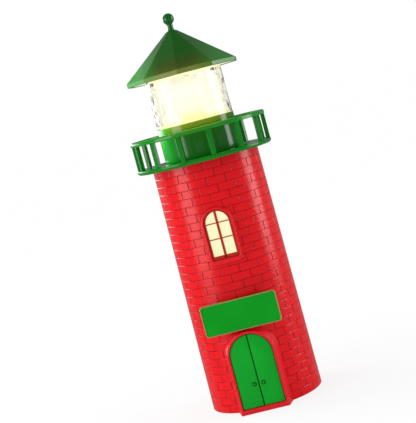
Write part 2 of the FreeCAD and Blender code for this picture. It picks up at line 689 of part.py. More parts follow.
def battery_door():
    """The hatch under the battery box; its rounded edge turns on two stub pins."""
    low, high = HATCH_LOW, HATCH_LOW + HATCH_THICK
    length = HATCH_LENGTH / 2 + HINGE_Y
    panel = block(HATCH_WIDTH, length, low, high, 0, HINGE_Y - length / 2)
    barrel = hinge_rod(HATCH_THICK / 2, HATCH_WIDTH / 2)
    pins = hinge_rod(HATCH_PIN_R, HATCH_WIDTH / 2 + HATCH_PIN_LENGTH)
    notch = rod(HATCH_NOTCH_R, low - PAST, low + HATCH_THICK / 2, 0, -HATCH_LENGTH / 2)
    return fused([panel, barrel, pins]).cut(notch)


def battery_box():
    outer = block(2 * (BOX_INNER_X + BOX_WALL), 2 * (BOX_INNER_Y + BOX_WALL), BASE_TOP, BOX_TOP)
    inner = block(2 * BOX_INNER_X, 2 * BOX_INNER_Y, BASE_TOP - PAST, BOX_TOP - BOX_WALL)
    shape = [outer.cut(inner)]
    for x, y in control_corners():
        shape.append(rod(STANDOFF_R, BOX_TOP, CONTROL_LOW, x, y))
        shape.append(rod(PEG_R, BOX_TOP, CONTROL_TOP + PEG_RISE, x, y))
    return fused(shape)


def control_corners():
    half_x, half_y = CONTROL_WIDTH / 2 - CONTROL_INSET, CONTROL_DEPTH / 2 - CONTROL_INSET
    return [(side_x * half_x, side_y * half_y) for side_x in (-1, 1) for side_y in (-1, 1)]


def control_board():
    board = block(CONTROL_WIDTH, CONTROL_DEPTH, CONTROL_LOW, CONTROL_TOP)
    return board.cut([rod(PEG_R + SCREW_GAP, CONTROL_LOW - PAST, CONTROL_TOP + PAST, x, y)
                      for x, y in control_corners()])


def board_parts():
    chip = block(CONTROL_CHIP_WIDTH, CONTROL_CHIP_DEPTH, CONTROL_TOP, CONTROL_TOP + CONTROL_CHIP_HEIGHT,
                 -CONTROL_PART_X, CONTROL_PART_Y)
    capacitor = rod(CAPACITOR_R, CONTROL_TOP, CONTROL_TOP + CAPACITOR_HEIGHT, CONTROL_PART_X, CONTROL_PART_Y)
    connector = block(CONNECTOR_WIDTH, CONNECTOR_DEPTH, CONTROL_TOP, CONTROL_TOP + CONNECTOR_HEIGHT,
                      CONTROL_PART_X, -CONTROL_PART_Y)
    return [chip, capacitor, connector]


def cell_rows():
    """The cells' Y places, each with the side its nub points to, so that the cells lie in series."""
    return [(CELL_PITCH * (k - (CELLS - 1) / 2), 1 if k % 2 else -1) for k in range(CELLS)]


def battery_cell(y, side):
    start = -side * (CELL_LENGTH + CELL_NUB_LENGTH) / 2
    can = Part.makeCylinder(CELL_R, CELL_LENGTH, V(start, y, CELL_Z), V(side, 0, 0))
    nub_start = V(start + side * CELL_LENGTH, y, CELL_Z)
    return can.fuse(Part.makeCylinder(CELL_NUB_R, CELL_NUB_LENGTH, nub_start, V(side, 0, 0)))


def battery_contact(y, side, is_spring):
    """A contact plate on the box's end wall, with a cone for a spring or a stud for a nub."""
    middle = side * (BOX_INNER_X - CONTACT_PLATE / 2)
    half_side = CONTACT_SIDE / 2
    plate = block(CONTACT_PLATE, CONTACT_SIDE, CELL_Z - half_side, CELL_Z + half_side, middle, y)
    root = V(side * (BOX_INNER_X - CONTACT_PLATE), y, CELL_Z)
    if is_spring:
        return plate.fuse(Part.makeCone(SPRING_FOOT_R, SPRING_TIP_R, CONTACT_DEPTH, root, V(-side, 0, 0)))
    return plate.fuse(Part.makeCylinder(CELL_NUB_R, CONTACT_DEPTH, root, V(-side, 0, 0)))


def switch_body():
    cavity_x = CARRIAGE_LENGTH + SWITCH_TRAVEL + 2 * SLIDE_GAP
    cavity_y = CARRIAGE_ACROSS + 2 * SLIDE_GAP
    cavity_top = BASE_TOP + CARRIAGE_HEIGHT + 2 * SLIDE_GAP
    outer = block(cavity_x + 2 * SWITCH_WALL, cavity_y + 2 * SWITCH_WALL, BASE_TOP, cavity_top + SWITCH_WALL,
                  0, SWITCH_Y)
    return outer.cut(block(cavity_x, cavity_y, BASE_TOP - PAST, cavity_top, 0, SWITCH_Y))


def switch_slider():
    low = BASE_TOP + SLIDE_GAP
    carriage = block(CARRIAGE_LENGTH, CARRIAGE_ACROSS, low, low + CARRIAGE_HEIGHT, SWITCH_X, SWITCH_Y)
    knob = block(SWITCH_KNOB_WIDTH, SWITCH_KNOB_ACROSS, BASE_SINK - SWITCH_KNOB_DROP, low + PAST,
                 SWITCH_X, SWITCH_Y)
    return fused([carriage, knob])


# ---- all pieces --------------------------------------------------------------------------------
def main():
    os.makedirs("parts", exist_ok=True)
    save("tower_shell", tower_shell())
    save("door_panel", door_panel())
    save("door_knobs", door_knob(-1), door_knob(1))
    save("sign_plate", sign_plate())
    save("window_casement", window_casement())
    save("window_pane", window_pane())
    save("window_board", window_board())
    save("window_leds", *window_chips())
    save("gallery", gallery())
    save("gallery_rail", gallery_rail())
    save("lamp_drum", lamp_drum())
    save("lens_gasket", lens_gasket())
    save("lens_tube", lens_tube())
    save("roof_soffit", roof_soffit())
    save("roof", roof())
    save("finial", finial())
    save("finial_nut", finial_nut())
    save("lamp_holder", lamp_holder())
    save("lamp_board", lamp_board())
    save("lamp_leds", *lamp_chips())
    save("lamp_diffuser", lamp_diffuser())
    save("lamp_wires", *lamp_wires())
    save("window_wires", *window_wires())
    save("base_plate", base_plate())
    save("battery_door", battery_door())
    save("battery_box", battery_box())
    save("battery_cells", *[battery_cell(y, side) for y, side in cell_rows()])
    save("battery_contacts", *[battery_contact(y, side * end, end < 0)
                               for y, side in cell_rows() for end in (1, -1)])
    save("control_board", control_board())
    save("control_parts", *board_parts())
    save("switch_body", switch_body())
    save("switch_slider", switch_slider())

    through_floor = GALLERY_THICK - SCREW_COVER - SCREW_END_GAP
    save("base_screws", *screws(base_screw_places(), BASE_SINK + SCREW_HEAD_HEIGHT, 1))
    save("gallery_screws", *screws(gallery_screw_places(), SHELF_LOW, 1, SHELF_THICK + through_floor))
    save("drum_screws", *screws(drum_screw_places(), FLOOR_Z + DRUM_FLANGE_THICK, -1,
                                DRUM_FLANGE_THICK + GALLERY_THICK))
    save("holder_screws", *screws(holder_screw_places(), FLOOR_Z + HOLDER_FLANGE_THICK, -1,
                                  HOLDER_FLANGE_THICK + GALLERY_THICK))
    save("roof_screws", *screws(roof_screw_places(), LENS_HIGH, 1))


main()
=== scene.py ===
"""Garden lighthouse ornament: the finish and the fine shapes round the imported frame. Metres, door to -Y."""
import math

import bpy
from mathutils import Matrix, Vector, noise


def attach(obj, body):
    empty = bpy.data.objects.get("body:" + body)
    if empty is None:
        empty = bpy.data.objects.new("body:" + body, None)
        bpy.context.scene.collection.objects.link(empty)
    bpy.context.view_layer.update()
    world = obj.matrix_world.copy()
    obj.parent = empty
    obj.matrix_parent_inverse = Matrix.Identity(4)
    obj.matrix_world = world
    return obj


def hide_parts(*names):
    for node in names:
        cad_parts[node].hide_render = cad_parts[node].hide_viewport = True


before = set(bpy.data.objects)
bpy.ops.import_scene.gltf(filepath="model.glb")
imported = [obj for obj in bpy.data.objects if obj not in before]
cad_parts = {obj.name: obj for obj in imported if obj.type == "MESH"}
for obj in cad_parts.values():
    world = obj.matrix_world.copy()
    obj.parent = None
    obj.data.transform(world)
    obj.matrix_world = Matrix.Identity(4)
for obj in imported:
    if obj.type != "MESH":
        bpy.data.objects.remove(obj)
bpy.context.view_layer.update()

MM = 0.001
TOWER = "lighthouse"

# ---- sizes in millimetres, where the frame's boxes don't give them ------------------------------
FOOT_R, TOP_R, TOWER_H, TOWER_WALL = 55.7, 53.1, 245.0, 2.6
COURSES, BRICKS = 31, 18
JOINT_DEPTH, JOINT_FLAT, JOINT_EDGE, BED_SHARE = 0.22, 0.15, 0.45, 0.6
DOOR_HALF, SPRING_Z, SILL, KNOB_X, KNOB_Z = 20.95, 55.6, 5.0, 4.4, 27.6
PORTAL_REACH, PORTAL_LIP, PORTAL_FLARE, PORTAL_ROOT = 65.0, 2.6, 3.7, 46.5
DOOR_REACH, DOOR_BACK = 64.2, 62.4
WINDOW_SPRING_Z, SURROUND_HALF, SURROUND_LOW = 185.2, 15.4, 145.7
LIGHT_HALF, LIGHT_LOW, BAR_LEVELS = 11.2, 153.8, (170.2, 185.4)
OPENING_HALF, OPENING_LOW, WINDOW_REACH, PANE_BACK = 13.2, 150.3, 56.9, 52.3
CASEMENT_BACK, PANE_TOP = 53.5, 198.0
SIGN_W, SIGN_H, SIGN_CORNER_R, SIGN_MID_Z, SIGN_REACH, SIGN_THICK = 74.3, 30.5, 3.0, 96.55, 66.0, 2.8
PAD_HALF_W, PAD_HALF_H, PAD_ROOT = 14.0, 10.0, 48.0
GALLERY_R, FLOOR_Z, POSTS, POST_H = 68.0, 249.3, 14, 24.2
RAIL_W, RAIL_H = 5.0, 4.3
DRUM_R, DRUM_TOP, LENS_R, LENS_WALL = 38.7, 283.4, 38.5, 2.4
LENS_TOP, COLLAR_R, COLLAR_WALL, COLLAR_H = 331.1, 35.95, 2.0, 1.8
ROOF_SIDES, ROOF_R, EAVE, FASCIA_TOP, ROOF_TOP = 10, 57.0, 330.3, 334.5, 374.5
BALL_Z, BALL_R, NECK_R = 386.1, 5.7, 2.9
GALLERY_BORE_R, GALLERY_ROUND, POST_HALF = 36.0, 2.6, 2.3
DRUM_FOOT_R, DRUM_BORE_R, TRAY_BORE_R = 29.3, 36.3, 14.4
LAMP_LOW, LAMP_HIGH, LIT_LOW, LIT_HIGH = 283.0, 324.0, 282.0, 331.0
AWAY = 99.0   # a distance that is out of reach of every joint

# ---- the photograph's camera and the light -------------------------------------------------------
FILL_LIGHT = 0.65
CAMERA_AZIMUTH = 4.7
CAMERA_DISTANCE = 1.254
CAMERA_HEIGHT = 0.298
CAMERA_PITCH = 4.77
CAMERA_ROLL = 14.9
AXIS_PIXELS_RIGHT = 10.8
PHOTO_WIDTH, PHOTO_HEIGHT = 416, 423
FOCAL_PIXELS = 1268.7


# ---- mesh helpers ------------------------------------------------------------------------------
def add_piece(name, verts, faces, material, slot, replaces=(), body=TOWER, smooth=True):
    """A new mesh from points in millimetres; it rides on a body and may stand for CAD nodes."""
    mesh = bpy.data.meshes.new(name)
    mesh.from_pydata([Vector(v) * MM for v in verts], [], faces)
    mesh.validate()
    mesh.update()
    piece = bpy.data.objects.new(name, mesh)
    bpy.context.scene.collection.objects.link(piece)
    mesh.materials.append(material)
    if smooth:
        mesh.polygons.foreach_set("use_smooth", [True] * len(mesh.polygons))
    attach(piece, body)
    if replaces:
        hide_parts(*replaces)
    return piece


def soften(piece, width, segments=2, angle=30):
    """Rounds the sharp edges, so that they catch the light as moulded ones do."""
    bevel = piece.modifiers.new("soft_edges", "BEVEL")
    bevel.width = width * MM
    bevel.segments = segments
    bevel.limit_method = "ANGLE"
    bevel.angle_limit = math.radians(angle)
    bevel.harden_normals = True
    return piece


def quads(rows, columns, close_columns=True, close_rows=False):
    """Faces of a grid of points that is stored row by row."""
    faces = []
    for row in range(rows if close_rows else rows - 1):
        for column in range(columns if close_columns else columns - 1):
            a, b = row * columns, ((row + 1) % rows) * columns
            step = (column + 1) % columns
            faces.append((a + column, a + step, b + step, b + column))
    return faces


def rounded(points, radius, steps=5):
    """A closed outline with each corner turned into an arc, as far as its two sides allow."""
    result = []
    count = len(points)
    for k, point in enumerate(points):
        corner = Vector(point)
        before, after = Vector(points[k - 1]) - corner, Vector(points[(k + 1) % count]) - corner
        half = before.angle(after) / 2
        cut = min(radius / math.tan(half), before.length * 0.45, after.length * 0.45)
        start, end = corner + before.normalized() * cut, corner + after.normalized() * cut
        for step in range(steps + 1):
            t = step / steps
            result.append(tuple(start * (1 - t) ** 2 + corner * 2 * t * (1 - t) + end * t ** 2))
    return result


def turned_points(profile, segments, start=0.0):
    """A ring of points round the tower's axis for each (radius, height)."""
    angles = [start + 2 * math.pi * k / segments for k in range(segments)]
    return [(radius * math.cos(angle), radius * math.sin(angle), height)
            for radius, height in profile for angle in angles]


def lathe(profile, segments):
    """A closed (radius, height) outline turned round the tower's axis."""
    return turned_points(profile, segments), quads(len(profile), segments, True, True)


def lathe_open(profile, segments):
    """An open outline turned round the axis, with both ends on the axis."""
    verts = turned_points(profile, segments)
    faces = quads(len(profile), segments)
    faces.append(tuple(range(segments)))
    last = (len(profile) - 1) * segments
    faces.append(tuple(reversed(range(last, last + segments))))
    return verts, faces


def arch_loop(half, low, spring, corner, arc_steps=40, corner_steps=8):
    """Points (x, z) round an arched opening with rounded lower corners, anticlockwise from bottom left."""
    points = []
    for centre_x, start in ((-half + corner, 180), (half - corner, 270)):
        for step in range(corner_steps + 1):
            angle = math.radians(start + 90.0 * step / corner_steps)
            points.append((centre_x + corner * math.cos(angle), low + corner + corner * math.sin(angle)))
    for step in range(arc_steps + 1):
        angle = math.pi * step / arc_steps
        points.append((half * math.cos(angle), spring + half * math.sin(angle)))
    return points


def box_loop(width, height, corner, middle_z, steps=8):
    """Points (x, z) round a rectangle with rounded corners, anticlockwise from bottom left."""
    points = []
    for sx, sz, start in ((-1, -1, 180), (1, -1, 270), (1, 1, 0), (-1, 1, 90)):
        for step in range(steps + 1):
            angle = math.radians(start + 90.0 * step / steps)
            points.append((sx * (width / 2 - corner) + corner * math.cos(angle),
                           middle_z + sz * (height / 2 - corner) + corner * math.sin(angle)))
    return points


def inset(points, distance):
    """The outline moved inwards by a distance; it is anticlockwise and has no hollow corners."""
    moved = []
    count = len(points)
    for k, point in enumerate(points):
        here = Vector(point)
        to_before, to_after = here - Vector(points[k - 1]), Vector(points[(k + 1) % count]) - here
        normals = [Vector((-d.y, d.x)).normalized() for d in (to_before, to_after) if d.length > 1e-9]
        mean = (normals[0] + normals[-1]).normalized()
        moved.append(tuple(here + mean * (distance / max(0.3, mean.dot(normals[0])))))
    return moved


def stacked(rings, cap_first=True, cap_last=True):
    """A skin through outlines that lie at given reaches: rings is a list of (points, reach)."""
    count = len(rings[0][0])
    verts = [(x, -reach, z) for points, reach in rings for x, z in points]
    faces = quads(len(rings), count)
    if cap_first:
        faces.append(tuple(reversed(range(count))))
    if cap_last:
        last = (len(rings) - 1) * count
        faces.append(tuple(range(last, last + count)))
    return verts, faces


def joined(*shapes):
    """Several (points, faces) shapes as one."""
    verts, faces = [], []
    for more_verts, more_faces in shapes:
        start = len(verts)
        verts += more_verts
        faces += [tuple(start + index for index in face) for face in more_faces]
    return verts, faces


def box_mesh(x0, x1, y0, y1, z0, z1):
    verts = [(x, y, z) for z in (z0, z1) for y in (y0, y1) for x in (x0, x1)]
    return verts, [(0, 2, 3, 1), (4, 5, 7, 6), (0, 1, 5, 4), (2, 6, 7, 3), (0, 4, 6, 2), (1, 3, 7, 5)]


def turned_about_axis(shape, degrees):
    """A (points, faces) shape turned about the tower's axis."""
    turn = Matrix.Rotation(math.radians(degrees), 4, "Z")
    return [tuple(turn @ Vector(v)) for v in shape[0]], shape[1]


# ---- materials ---------------------------------------------------------------------------------
def node_of(material, kind, **sockets):
    """A new shader node, with the sockets named set to constants."""
    made = material.node_tree.nodes.new(kind)
    for name, value in sockets.items():
        made.inputs[name.replace("_", " ")].default_value = value
    return made


def new_material(name):
    material = bpy.data.materials.new(name)
    material.use_nodes = True
    shader = material.node_tree.nodes["Principled BSDF"]
    return material, shader, material.node_tree.links


def colour_ramp(material, stops, source):
    """A colour that runs through the stops as the source goes from 0 to 1."""
    ramp = material.node_tree.nodes.new("ShaderNodeValToRGB")
    elements = ramp.color_ramp.elements
    elements[0].position, elements[0].color = stops[0][0], (*stops[0][1], 1)
    elements[1].position, elements[1].color = stops[-1][0], (*stops[-1][1], 1)
    for position, colour in stops[1:-1]:
        elements.new(position).color = (*colour, 1)
    material.node_tree.links.new(source, ramp.inputs["Fac"])
    return ramp.outputs["Color"]


def object_axis(material, axis):
    """One coordinate of the shaded point in the object's own frame."""
    place = node_of(material, "ShaderNodeTexCoord")
    split = node_of(material, "ShaderNodeSeparateXYZ")
    material.node_tree.links.new(place.outputs["Object"], split.inputs[0])
    return split.outputs[axis]


def spanned(material, value, low, high, to_low=0.0, to_high=1.0):
    """A length mapped from low..high millimetres to another range."""
    share = node_of(material, "ShaderNodeMapRange", From_Min=low * MM, From_Max=high * MM, To_Min=to_low,
                    To_Max=to_high)
    material.node_tree.links.new(value, share.inputs["Value"])
    return share.outputs["Result"]


def height_share(material, low, high):
    """0 at one height on the object and 1 at another."""
    return spanned(material, object_axis(material, "Z"), low, high)


def side_share(material, half):
    """0 at the object's left side and 1 at its right, as seen from the front."""
    return spanned(material, object_axis(material, "X"), -half, half)


def middle_share(material, near, far):
    """Close to 1 by the object's middle plane and 0 out at its sides, by the distance along X."""
    size = node_of(material, "ShaderNodeMath")
    size.operation = "ABSOLUTE"
    material.node_tree.links.new(object_axis(material, "X"), size.inputs[0])
    return spanned(material, size.outputs[0], near, far, 0.92, 0.08)


def mixed(material, share, first, second):
    """The first colour where the share is 0 and the second where it is 1."""
    mix = node_of(material, "ShaderNodeMixRGB")
    links = material.node_tree.links
    links.new(share, mix.inputs["Fac"])
    links.new(first, mix.inputs["Color1"])
    if isinstance(second, tuple):
        mix.inputs["Color2"].default_value = (*second, 1)
    else:
        links.new(second, mix.inputs["Color2"])
    return mix.outputs["Color"]


def moulded_plastic(name, colour, roughness=0.3, coat=0.4, spread=0.12, ripple=0.05, scale=90.0, stops=None,
                    span=None, sheen=0.5, sides=None):
    """Injection-moulded plastic: a faint flow of colour, uneven gloss and the slightest ripple.

    stops with a span paint light into the colour by height near the middle plane; sides, the colours far left and
    right, are painted light and shade.
    """
    material, shader, links = new_material(name)
    place = node_of(material, "ShaderNodeTexCoord")
    flow = node_of(material, "ShaderNodeTexNoise", Scale=scale / 3, Detail=3.0)
    links.new(place.outputs["Object"], flow.inputs["Vector"])
    # Painted light and shade: the side colours make one side lighter and the other darker.
    if sides:
        tint = colour_ramp(material, [(0.0, sides[0]), (0.45, colour), (1.0, sides[1])],
                           side_share(material, DRUM_R))
    else:
        dark = [c * (1 - spread) for c in colour]
        light = [min(1, c * (1 + spread)) for c in colour]
        tint = colour_ramp(material, [(0.3, dark), (0.7, light)], flow.outputs["Fac"])
    # Painted light: the colour by height paints in light falling on the part, strongest by the middle plane.
    if stops:
        painted_light_by_height = colour_ramp(material, stops, height_share(material, *span))
        tint = mixed(material, middle_share(material, 16.0, 40.0), tint, painted_light_by_height)
    links.new(tint, shader.inputs["Base Color"])
    gloss = node_of(material, "ShaderNodeMapRange", To_Min=roughness * 0.85, To_Max=roughness * 1.15)
    fine = node_of(material, "ShaderNodeTexNoise", Scale=scale * 3, Detail=2.0)
    links.new(place.outputs["Object"], fine.inputs["Vector"])
    links.new(fine.outputs["Fac"], gloss.inputs["Value"])
    links.new(gloss.outputs["Result"], shader.inputs["Roughness"])
    bump = node_of(material, "ShaderNodeBump", Strength=ripple, Distance=0.0004)
    links.new(flow.outputs["Fac"], bump.inputs["Height"])
    links.new(bump.outputs["Normal"], shader.inputs["Normal"])
    shader.inputs["Coat Weight"].default_value = coat
    shader.inputs["Coat Roughness"].default_value = 0.12
    shader.inputs["Specular IOR Level"].default_value = sheen
    return material


def brick_red(name):
    """The tower's red, darker down in the joints, which the mesh marks in a colour attribute."""
    material = moulded_plastic(name, (0.78, 0.0008, 0.006), roughness=0.22, coat=0.0, spread=0.04, ripple=0.0,
                               scale=140.0, sheen=0.38)
    surface = material.node_tree.nodes["Principled BSDF"].inputs["Base Color"]
    mark = node_of(material, "ShaderNodeAttribute")
    mark.attribute_name = "joint"
    dark = mixed(material, mark.outputs["Fac"], surface.links[0].from_socket, (0.08, 0.0004, 0.002))
    material.node_tree.links.new(dark, surface)
    return material


def glowing(name, stops, span, strength, roughness=0.5, base=(0.8, 0.78, 0.66)):
    """A lit, milky plastic whose glow changes with height."""
    material, shader, links = new_material(name)
    colour = colour_ramp(material, stops, height_share(material, *span))
    shader.inputs["Base Color"].default_value = (*base, 1)
    links.new(colour, shader.inputs["Emission Color"])
    shader.inputs["Emission Strength"].default_value = strength
    shader.inputs["Roughness"].default_value = roughness
    return material


def clear_plastic(name):
    """Clear moulded plastic with a slightly uneven surface."""
    material, shader, links = new_material(name)
    shader.inputs["Base Color"].default_value = (1.0, 0.985, 0.87, 1)
    shader.inputs["Transmission Weight"].default_value = 1.0
    shader.inputs["IOR"].default_value = 1.45
    shader.inputs["Roughness"].default_value = 0.04
    place = node_of(material, "ShaderNodeTexCoord")
    wave = node_of(material, "ShaderNodeTexNoise", Scale=120.0, Detail=1.0)
    links.new(place.outputs["Object"], wave.inputs["Vector"])
    bump = node_of(material, "ShaderNodeBump", Strength=0.12, Distance=0.0006)
    links.new(wave.outputs["Fac"], bump.inputs["Height"])
    links.new(bump.outputs["Normal"], shader.inputs["Normal"])
    return material


def metal(name, colour, roughness=0.3):
    """Plain metal with a fine grain."""
    material, shader, links = new_material(name)
    place = node_of(material, "ShaderNodeTexCoord")
    grain = node_of(material, "ShaderNodeTexNoise", Scale=700.0, Detail=2.0)
    links.new(place.outputs["Object"], grain.inputs["Vector"])
    tint = colour_ramp(material, [(0.3, [c * 0.8 for c in colour]), (0.7, colour)], grain.outputs["Fac"])
    links.new(tint, shader.inputs["Base Color"])
    shader.inputs["Metallic"].default_value = 1.0
    shader.inputs["Roughness"].default_value = roughness
    return material


# Painted light: the roof's fascia and lower slope are tinted olive and brown with the lamp's glow, near the middle
# plane.
ROOF_PAINTED_GLOW_STOPS = [(0.0, (0.200, 0.240, 0.045)), (0.098, (0.200, 0.240, 0.045)), (0.112, (0.090, 0.095, 0.012)),
              (0.25, (0.042, 0.080, 0.010)), (0.5, (0.013, 0.100, 0.008)), (1.0, (0.009, 0.104, 0.010))]
# Painted light: the drum's top turns olive-yellow with the lamp's glow, near the middle plane.
DRUM_PAINTED_GLOW_STOPS = [(0.0, (0.010, 0.190, 0.010)), (0.55, (0.012, 0.150, 0.008)), (0.80, (0.030, 0.150, 0.006)),
              (0.88, (0.200, 0.330, 0.010)), (1.0, (0.280, 0.420, 0.012))]
# Painted light: the rail is lighter and yellower towards its top, where the lamp's glow and the light from above
# fall.
RAIL_PAINTED_LIGHT_STOPS = [(0.0, (0.004, 0.210, 0.010)), (0.5, (0.030, 0.250, 0.010)), (1.0, (0.090, 0.300, 0.012))]
RED = brick_red("brick_red")
RED_TRIM = moulded_plastic("trim_red", (0.78, 0.001, 0.010), 0.3, 0.0, 0.04, 0.02, sheen=0.5)
GREEN = moulded_plastic("gallery_green", (0.003, 0.195, 0.009), 0.16, 0.0, 0.12, 0.04, sheen=0.4)
# Painted light and shade: the drum is lighter on its left and darker on its right.
DRUM_GREEN = moulded_plastic("drum_green", (0.006, 0.200, 0.010), 0.16, 0.0, 0.1, 0.04, stops=DRUM_PAINTED_GLOW_STOPS,
                             span=(FLOOR_Z, DRUM_TOP), sheen=0.5,
                             sides=((0.009, 0.880, 0.050), (0.004, 0.105, 0.008)))
RAIL_GREEN = moulded_plastic("rail_green", (0.006, 0.260, 0.014), 0.16, 0.0, 0.1, 0.04, stops=RAIL_PAINTED_LIGHT_STOPS,
                             span=(FLOOR_Z + POST_H, FLOOR_Z + POST_H + RAIL_H), sheen=0.5)
# Painted light and shade: the roof is lighter on its left and darker on its right.
ROOF_GREEN = moulded_plastic("roof_green", (0.012, 0.130, 0.014), 0.22, 0.0, 0.1, 0.04, stops=ROOF_PAINTED_GLOW_STOPS,
                             span=(EAVE, ROOF_TOP), sheen=0.5,
                             sides=((0.030, 0.330, 0.034), (0.022, 0.210, 0.022)))
FINIAL_GREEN = moulded_plastic("finial_green", (0.010, 0.130, 0.016), 0.1, 0.4, 0.1, 0.03)
# Painted light: the tabs' green is tinted olive with the lamp's glow.
TAB_PAINTED_LAMPLIGHT = moulded_plastic("tab_painted_lamplight_olive", (0.10, 0.12, 0.02), 0.4, 0.0, 0.1, 0.03, sheen=0.2)
DOOR_GREEN = moulded_plastic("door_green", (0.003, 0.370, 0.022), 0.4, 0.0, 0.06, 0.04, sheen=0.12)
# Painted shade: the dark green in the gaps round the door leaves and on the roses.
DOOR_SHADE = moulded_plastic("door_painted_shade", (0.004, 0.070, 0.006), 0.6, 0.0, 0.1, 0.05, sheen=0.1)
SIGN_GREEN = moulded_plastic("sign_green", (0.0005, 0.330, 0.012), 0.4, 0.0, 0.06, 0.04, sheen=0.12)
# Painted highlight: the plate's lip is a pale tan that stands for a highlight on its edge.
RIM_PAINTED_HIGHLIGHT = moulded_plastic("rim_painted_highlight", (0.30, 0.27, 0.08), 0.3, 0.0, 0.06, 0.02, sheen=0.5)
BROWN = moulded_plastic("window_brown", (0.45, 0.022, 0.006), 0.35, 0.0, 0.12, 0.03, sheen=0.2)
PANE = glowing("cream_pane", [(0.0, (0.95, 0.93, 0.50)), (0.25, (0.96, 0.96, 0.60)), (1.0, (0.97, 0.99, 0.62))],
               (OPENING_LOW, PANE_TOP), 0.80, base=(0.22, 0.22, 0.13))
FROSTED = glowing("frosted_lamp", [(0.0, (1.0, 0.90, 0.06)), (0.07, (1.0, 0.96, 0.30)), (0.3, (1.0, 0.98, 0.72)),
                                   (0.75, (1.0, 1.0, 0.90)), (1.0, (1.0, 0.99, 0.72))], (LAMP_LOW, LAMP_HIGH), 1.0,
                  base=(0.3, 0.3, 0.2))
# Painted light: the white parts round the lamp glow as though lit by it, in place of its light falling on them.
PAINTED_LAMPLIGHT = glowing("reflector_painted_lamplight", [(0.0, (1.0, 0.97, 0.50)), (0.3, (1.0, 0.98, 0.72)), (1.0, (1.0, 0.97, 0.66))],
                    (LIT_LOW, LIT_HIGH), 0.92, base=(0.3, 0.3, 0.22))
CLEAR = clear_plastic("clear_lens")
BLACK = moulded_plastic("black_plastic", (0.022, 0.022, 0.023), 0.5, 0.0, 0.3, 0.2, 400.0)
WHITE = moulded_plastic("white_plastic", (0.80, 0.79, 0.74), 0.4, 0.1, 0.03, 0.05)
SLEEVE = moulded_plastic("cell_sleeve", (0.62, 0.40, 0.05), 0.4, 0.0, 0.1, 0.03)
STEEL = metal("screw_steel", (0.62, 0.62, 0.64))
BOARD = moulded_plastic("circuit_green", (0.01, 0.12, 0.04), 0.35, 0.3, 0.2, 0.05)
WIRE = moulded_plastic("wire_red", (0.45, 0.01, 0.01), 0.4, 0.1, 0.1, 0.05)


# ---- tower -------------------------------------------------------------------------------------
def tower_radius(level):
    """The tower's outer radius at a height."""
    return FOOT_R + (TOP_R - FOOT_R) * level / TOWER_H


def joint_depth(distance):
    """How deep a joint is at a distance from its middle, both in millimetres."""
    share = min(1.0, max(0.0, (distance - JOINT_FLAT) / (JOINT_EDGE - JOINT_FLAT)))
    return JOINT_DEPTH * (1 - share * share * (3 - 2 * share))


def in_arch(x, z, half, low, spring):
    """Whether a point lies inside an arched opening."""
    return abs(x) < half and low < z and (z < spring or math.hypot(x, z - spring) < half)


def brick_tower():
    """The brick wall: every course and every upright joint is a real groove in the mesh."""
    pitch = TOWER_H / COURSES
    slots = 2 * BRICKS
    offsets = (-JOINT_EDGE - 0.25, -JOINT_EDGE, -JOINT_FLAT, JOINT_FLAT, JOINT_EDGE, JOINT_EDGE + 0.25)
    columns = []
    for joint in range(slots):
        middle = 360.0 * joint / slots
        for offset in offsets:
            columns.append((middle + math.degrees(offset / FOOT_R), joint, abs(offset)))
        for share in (0.3, 0.5, 0.7):
            columns.append((middle + 360.0 / slots * share, None, AWAY))
    rows = [(0.0, AWAY, 0), (0.5, AWAY, 0), (pitch / 2, AWAY, 0)]
    for course in range(1, COURSES):
        level = course * pitch
        rows += [(level + offset, abs(offset), course - (1 if offset < 0 else 0)) for offset in offsets]
        rows.append((level + pitch / 2, AWAY, course))
    rows.append((TOWER_H, AWAY, COURSES - 1))
    verts, marks = [], []
    for level, row_distance, course in rows:
        for degrees, joint, column_distance in columns:
            depth = joint_depth(row_distance) * BED_SHARE
            if joint is not None and (joint + course) % 2 == 0:
                depth = max(depth, joint_depth(column_distance))
            angle = math.radians(degrees)
            radius = tower_radius(level) - depth - (0.5 if level == 0 else 0)
            verts.append((radius * math.sin(angle), -radius * math.cos(angle), level))
            marks.append(depth / JOINT_DEPTH)
    for radius, level in ((FOOT_R - TOWER_WALL, 0.0), (FOOT_R - TOWER_WALL, 6.0)):
        ring = [(radius * math.sin(math.radians(d)), -radius * math.cos(math.radians(d)), level)
                for d, _, _ in columns]
        verts = ring + verts
        marks = [0.0] * len(ring) + marks
    count = len(columns)
    behind_window = [y < 0 and in_arch(x, z, SURROUND_HALF - 1.0, SURROUND_LOW + 1.0, WINDOW_SPRING_Z)
                     for x, y, z in verts]
    faces = [face for face in quads(len(rows) + 2, count) if not all(behind_window[index] for index in face)]
    piece = add_piece("brick_tower", verts, faces, RED, "red_plastic", ["tower_shell"])
    attribute = piece.data.attributes.new("joint", "FLOAT", "POINT")
    if len(piece.data.vertices) == len(marks):
        attribute.data.foreach_set("value", marks)


def portal_outline(offset):
    """The door opening's outline, moved outwards, from the left foot over the arch to the right foot."""
    half = DOOR_HALF + offset
    points = [(-half, 0.0), (-half, SPRING_Z * 0.5), (-half, SPRING_Z)]
    steps = 48
    points += [(-half * math.cos(math.pi * k / steps), SPRING_Z + half * math.sin(math.pi * k / steps))
               for k in range(1, steps)]
    return points + [(half, SPRING_Z), (half, SPRING_Z * 0.5), (half, 0.0)]


